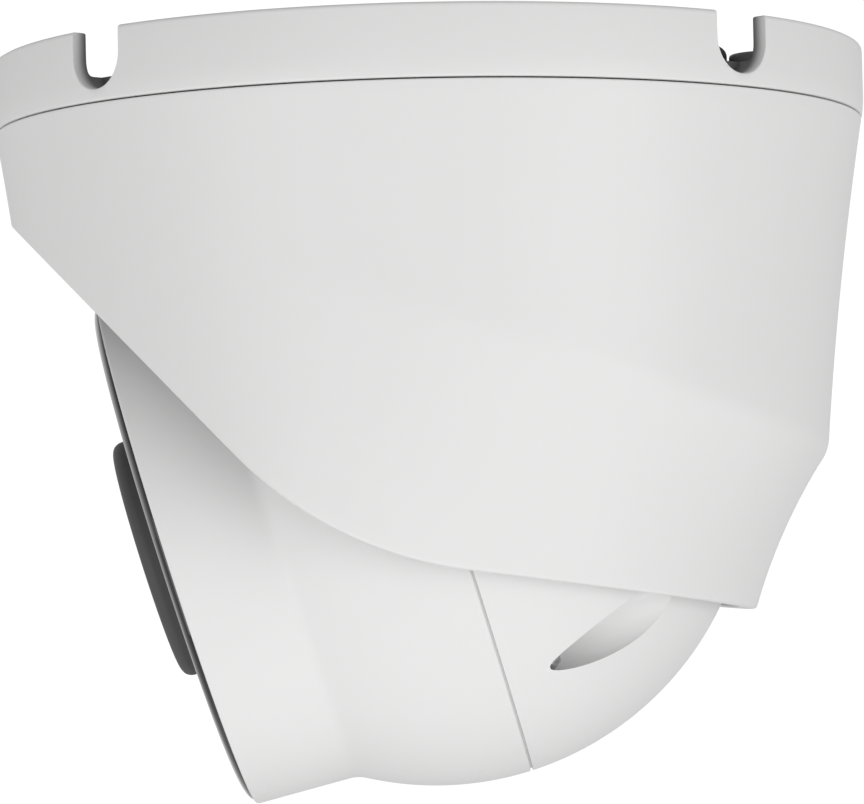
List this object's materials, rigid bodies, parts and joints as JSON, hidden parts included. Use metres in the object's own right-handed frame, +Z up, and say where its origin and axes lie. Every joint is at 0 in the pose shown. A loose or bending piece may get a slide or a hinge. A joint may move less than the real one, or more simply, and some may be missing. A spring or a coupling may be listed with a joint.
{
  "type": "turret security camera",
  "caption": "Ceiling turret security camera: a lens ball that pans, tilts and rolls in an obliquely cut shroud under a round notched base.",
  "frame": {"origin": "centre of the mounting screw circle on the ceiling face of the base", "axes": "+Z up into the ceiling along the pan axis; the lens looks towards -Y and down; +X is to the camera's left side; mirror plane X = 0"},
  "size_m": [0.11, 0.11, 0.0935],
  "materials": {
    "white_shell": "satin white powder coat with a fine grain",
    "black_rubber": "matte moulded rubber",
    "acetal_black": "smooth low-friction plastic",
    "zinc_steel": "zinc-plated pressed steel",
    "screw_steel": "stainless machine screws",
    "brass_post": "turned brass",
    "window_black": "gloss black infrared-passing window",
    "lens_black": "matte black moulding",
    "clear_glass": "clear flat glass",
    "coated_glass": "coated lens glass",
    "filter_glass": "tinted filter glass",
    "sensor_chip": "packaged chip",
    "circuit_board": "green solder mask",
    "led_board_white": "white solder mask",
    "connector_cream": "moulded connector nylon",
    "bare_aluminium": "bare pressed aluminium",
    "led_lens": "clear moulded emitter"
  },
  "bodies": {
    "base": {"mounting_base": "white_shell", "base_gasket": "black_rubber", "pan_washer": "acetal_black"},
    "turret": {"shroud": "white_shell", "turret_plate": "zinc_steel", "turret_plate_screws": "screw_steel", "pan_retainer_ring": "zinc_steel", "retainer_screws": "screw_steel", "tilt_pins": "screw_steel"},
    "yoke": {"tilt_yoke": "zinc_steel", "tilt_washers": "acetal_black"},
    "ball": {"rear_housing": "white_shell", "front_housing": "white_shell", "housing_seal": "black_rubber", "window_seal": "black_rubber", "cable_gland": "black_rubber", "lens_light_shield": "black_rubber", "processor_shield": "zinc_steel", "housing_screws": "screw_steel", "roll_retainer": "screw_steel", "sensor_board_screws": "screw_steel", "main_board_screws": "screw_steel", "bracket_screws": "screw_steel", "board_standoffs": "brass_post", "front_window": "window_black", "lens_ring": "lens_black", "lens_barrel": "lens_black", "lens_holder": "lens_black", "led_cups": "lens_black", "lens_cover_glass": "clear_glass", "front_element": "coated_glass", "rear_element": "coated_glass", "ir_cut_filter": "filter_glass", "image_sensor": "sensor_chip", "light_sensor": "sensor_chip", "sensor_board": "circuit_board", "main_board": "circuit_board", "led_board": "led_board_white", "network_header": "connector_cream", "heat_spreader": "bare_aluminium", "camera_bracket": "bare_aluminium", "infrared_leds": "led_lens"}
  },
  "joints": [
    {"name": "pan", "type": "hinge", "parent": "base", "child": "turret", "pos_m": [0, 0, -0.0519], "axis": [0, 0, 1], "range_deg": [-180, 180]},
    {"name": "tilt", "type": "hinge", "parent": "turret", "child": "yoke", "pos_m": [0, 0, -0.0519], "axis": [1, 0, 0], "range_deg": [-16.5, 61.5]},
    {"name": "roll", "type": "hinge", "parent": "yoke", "child": "ball", "pos_m": [0, 0, -0.0519], "axis": [0, -0.9588, -0.284], "range_deg": [-180, 180]}
  ]
}
